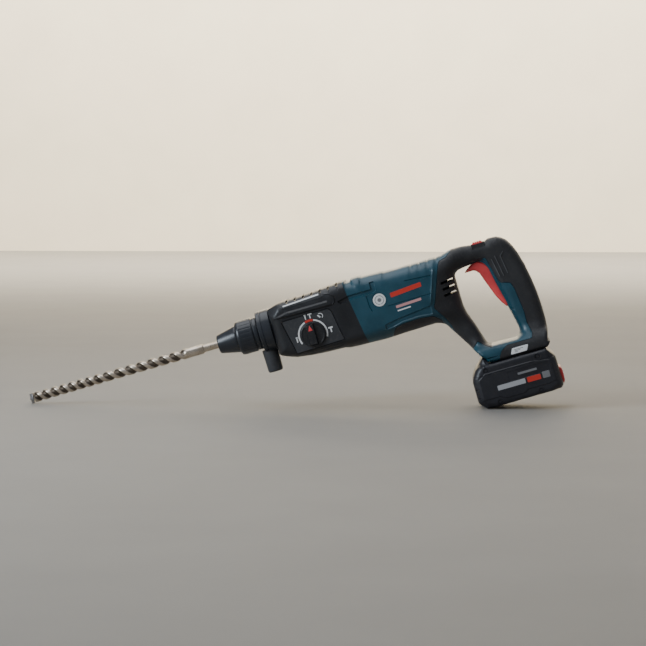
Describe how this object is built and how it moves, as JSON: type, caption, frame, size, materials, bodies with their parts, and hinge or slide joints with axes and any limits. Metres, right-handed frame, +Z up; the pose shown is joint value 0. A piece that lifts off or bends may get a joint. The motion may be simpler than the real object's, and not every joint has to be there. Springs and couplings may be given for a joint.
{
  "type": "rotary hammer",
  "caption": "Cordless rotary hammer with inline body, D-handle, keyless chuck holding a spiral masonry drill, mode dial, side-handle clamp and slide-on battery pack.",
  "frame": {"origin": "bottom centre of the box round the whole tool as it lies, on the level surface under it", "axes": "+Z up; +X from the tip of the drill towards the handle, along the surface; -Y is the tool's left side. The spindle lies in the XZ plane and climbs rearwards at 16.32 degrees, because the tool rests on the tip of its drill and the front edge of its battery."},
  "size_m": [0.723, 0.0838, 0.2283],
  "materials": {
    "board_green": "coated",
    "carbide": "sintered, ground",
    "case_black": "fine textured",
    "cast_alloy": "as cast",
    "cell_sleeve": "shrink sleeve",
    "copper_winding": "enamelled",
    "drill_steel": "bright crests, dark flutes",
    "fastener_steel": "blackened",
    "grip_rubber": "matt soft grip",
    "housing_blue": "fine textured",
    "label_white": "satin",
    "lamination": "stacked",
    "pack_black": "fine textured",
    "seal_rubber": "smooth",
    "signal_red": "satin",
    "tool_steel": "ground",
    "trim_grey": "fine textured"
  },
  "bodies": {
    "housing": {"gear_housing": "case_black", "dial_panel": "case_black", "motor_shell_left": "housing_blue", "motor_shell_right": "housing_blue", "handle_shell_left": "housing_blue", "handle_shell_right": "housing_blue", "grip_overmold_left": "grip_rubber", "grip_overmold_right": "grip_rubber", "foot_label": "label_white", "badge_disc": "label_white", "housing_screws": "fastener_steel", "intermediate_flange": "cast_alloy", "spindle_bearings": "tool_steel", "layshaft_bearings": "tool_steel", "rotor_bearings": "tool_steel", "stator_core": "lamination", "stator_windings": "copper_winding", "control_board": "board_green", "trigger_switch": "trim_grey", "trigger_pin": "tool_steel", "terminal_block": "trim_grey", "spindle_seal": "seal_rubber"},
    "spindle": {"spindle_tube": "tool_steel", "spindle_gear": "tool_steel", "clutch_spring": "tool_steel", "dust_cap": "case_black", "locking_balls": "tool_steel"},
    "sleeve": {"locking_sleeve": "case_black", "ball_retainer": "tool_steel", "sleeve_spring": "tool_steel"},
    "bit": {"drill_bit": "drill_steel", "carbide_head": "carbide"},
    "rotor": {"rotor_shaft": "tool_steel", "rotor_core": "lamination", "cooling_fan": "trim_grey"},
    "layshaft": {"layshaft": "tool_steel", "layshaft_gear": "tool_steel", "wobble_hub": "tool_steel", "coupling_sleeve": "tool_steel"},
    "wobble": {"wobble_ring": "tool_steel", "wobble_balls": "tool_steel"},
    "piston": {"hammer_piston": "cast_alloy"},
    "piston_pin": {"piston_pin": "tool_steel"},
    "striker": {"striker": "tool_steel", "striker_seal": "seal_rubber"},
    "impact_bolt": {"impact_bolt": "tool_steel"},
    "trigger": {"trigger": "signal_red"},
    "direction_slider": {"direction_slider": "signal_red"},
    "mode_dial": {"mode_dial": "trim_grey", "dial_pointer": "signal_red"},
    "side_clamp": {"clamp_ring": "case_black", "grip_neck": "trim_grey"},
    "battery": {"battery_case": "pack_black", "battery_cover": "pack_black", "battery_cells": "cell_sleeve", "battery_board": "board_green"},
    "release_button": {"release_button": "signal_red"}
  },
  "joints": [
    {"name": "spindle_spin", "type": "hinge", "parent": "housing", "child": "spindle", "pos_m": [-0.10329, 0.00185, 0.08173], "axis": [0.9597, 0, 0.2809], "continuous": true},
    {"name": "sleeve_slide", "type": "slide", "parent": "spindle", "child": "sleeve", "axis": [0.9597, 0, 0.2809], "range_m": [0, 0.006], "stiffness_N_per_m": 1500, "springref_m": -0.004, "deforming": ["sleeve_spring"]},
    {"name": "bit_slide", "type": "slide", "parent": "spindle", "child": "bit", "axis": [-0.9597, 0, -0.2809], "range_m": [0, 0.01]},
    {"name": "impact_bolt_slide", "type": "slide", "parent": "spindle", "child": "impact_bolt", "axis": [0.9597, 0, 0.2809], "range_m": [0, 0.005]},
    {"name": "rotor_spin", "type": "hinge", "parent": "housing", "child": "rotor", "pos_m": [0.09147, 0.00185, 0.12832], "axis": [0.9597, 0, 0.2809], "continuous": true},
    {"name": "layshaft_spin", "type": "hinge", "parent": "housing", "child": "layshaft", "pos_m": [0.04882, 0.00185, 0.09604], "axis": [0.9597, 0, 0.2809], "continuous": true},
    {"name": "piston_slide", "type": "slide", "parent": "housing", "child": "piston", "axis": [0.9597, 0, 0.2809], "range_m": [-0.0061, 0.0061]},
    {"name": "wobble_swing", "type": "hinge", "parent": "housing", "child": "wobble", "pos_m": [0.06609, 0.00185, 0.1011], "axis": [0, 1, 0], "range_deg": [-12, 12]},
    {"name": "piston_pin_turn", "type": "hinge", "parent": "piston", "child": "piston_pin", "pos_m": [0.05795, 0.00185, 0.12893], "axis": [0, 1, 0], "range_deg": [-12.5, 12.5]},
    {"name": "striker_slide", "type": "slide", "parent": "housing", "child": "striker", "axis": [-0.9597, 0, -0.2809], "range_m": [0, 0.0165]},
    {"name": "trigger_pull", "type": "hinge", "parent": "housing", "child": "trigger", "pos_m": [0.28956, 0.00185, 0.13682], "axis": [0, 1, 0], "range_deg": [0, 6.5], "stiffness_Nm_per_rad": 3, "springref_deg": -8.59},
    {"name": "direction_shift", "type": "slide", "parent": "housing", "child": "direction_slider", "axis": [0, 1, 0], "range_m": [-0.004, 0.004]},
    {"name": "mode_turn", "type": "hinge", "parent": "housing", "child": "mode_dial", "pos_m": [0.02699, -0.03815, 0.09871], "axis": [0, -1, 0], "range_deg": [-75, 100]},
    {"name": "side_clamp_swivel", "type": "hinge", "parent": "housing", "child": "side_clamp", "pos_m": [-0.03803, 0.00185, 0.10083], "axis": [0.9597, 0, 0.2809], "continuous": true},
    {"name": "battery_slide", "type": "slide", "parent": "housing", "child": "battery", "axis": [-0.9597, 0, -0.2809], "range_m": [0, 0.09]},
    {"name": "battery_release_press", "type": "slide", "parent": "battery", "child": "release_button", "axis": [-0.9597, 0, -0.2809], "range_m": [0, 0.002], "stiffness_N_per_m": 3000, "springref_m": -0.002}
  ],
  "couplings": [
    {"joint": "layshaft_spin", "follows": "spindle_spin", "ratio": -4.8},
    {"joint": "rotor_spin", "follows": "spindle_spin", "ratio": 15.467},
    {"joint": "wobble_swing", "follows": "piston_slide", "rad_per_m": 34.13},
    {"joint": "piston_pin_turn", "follows": "piston_slide", "rad_per_m": 34.13}
  ]
}
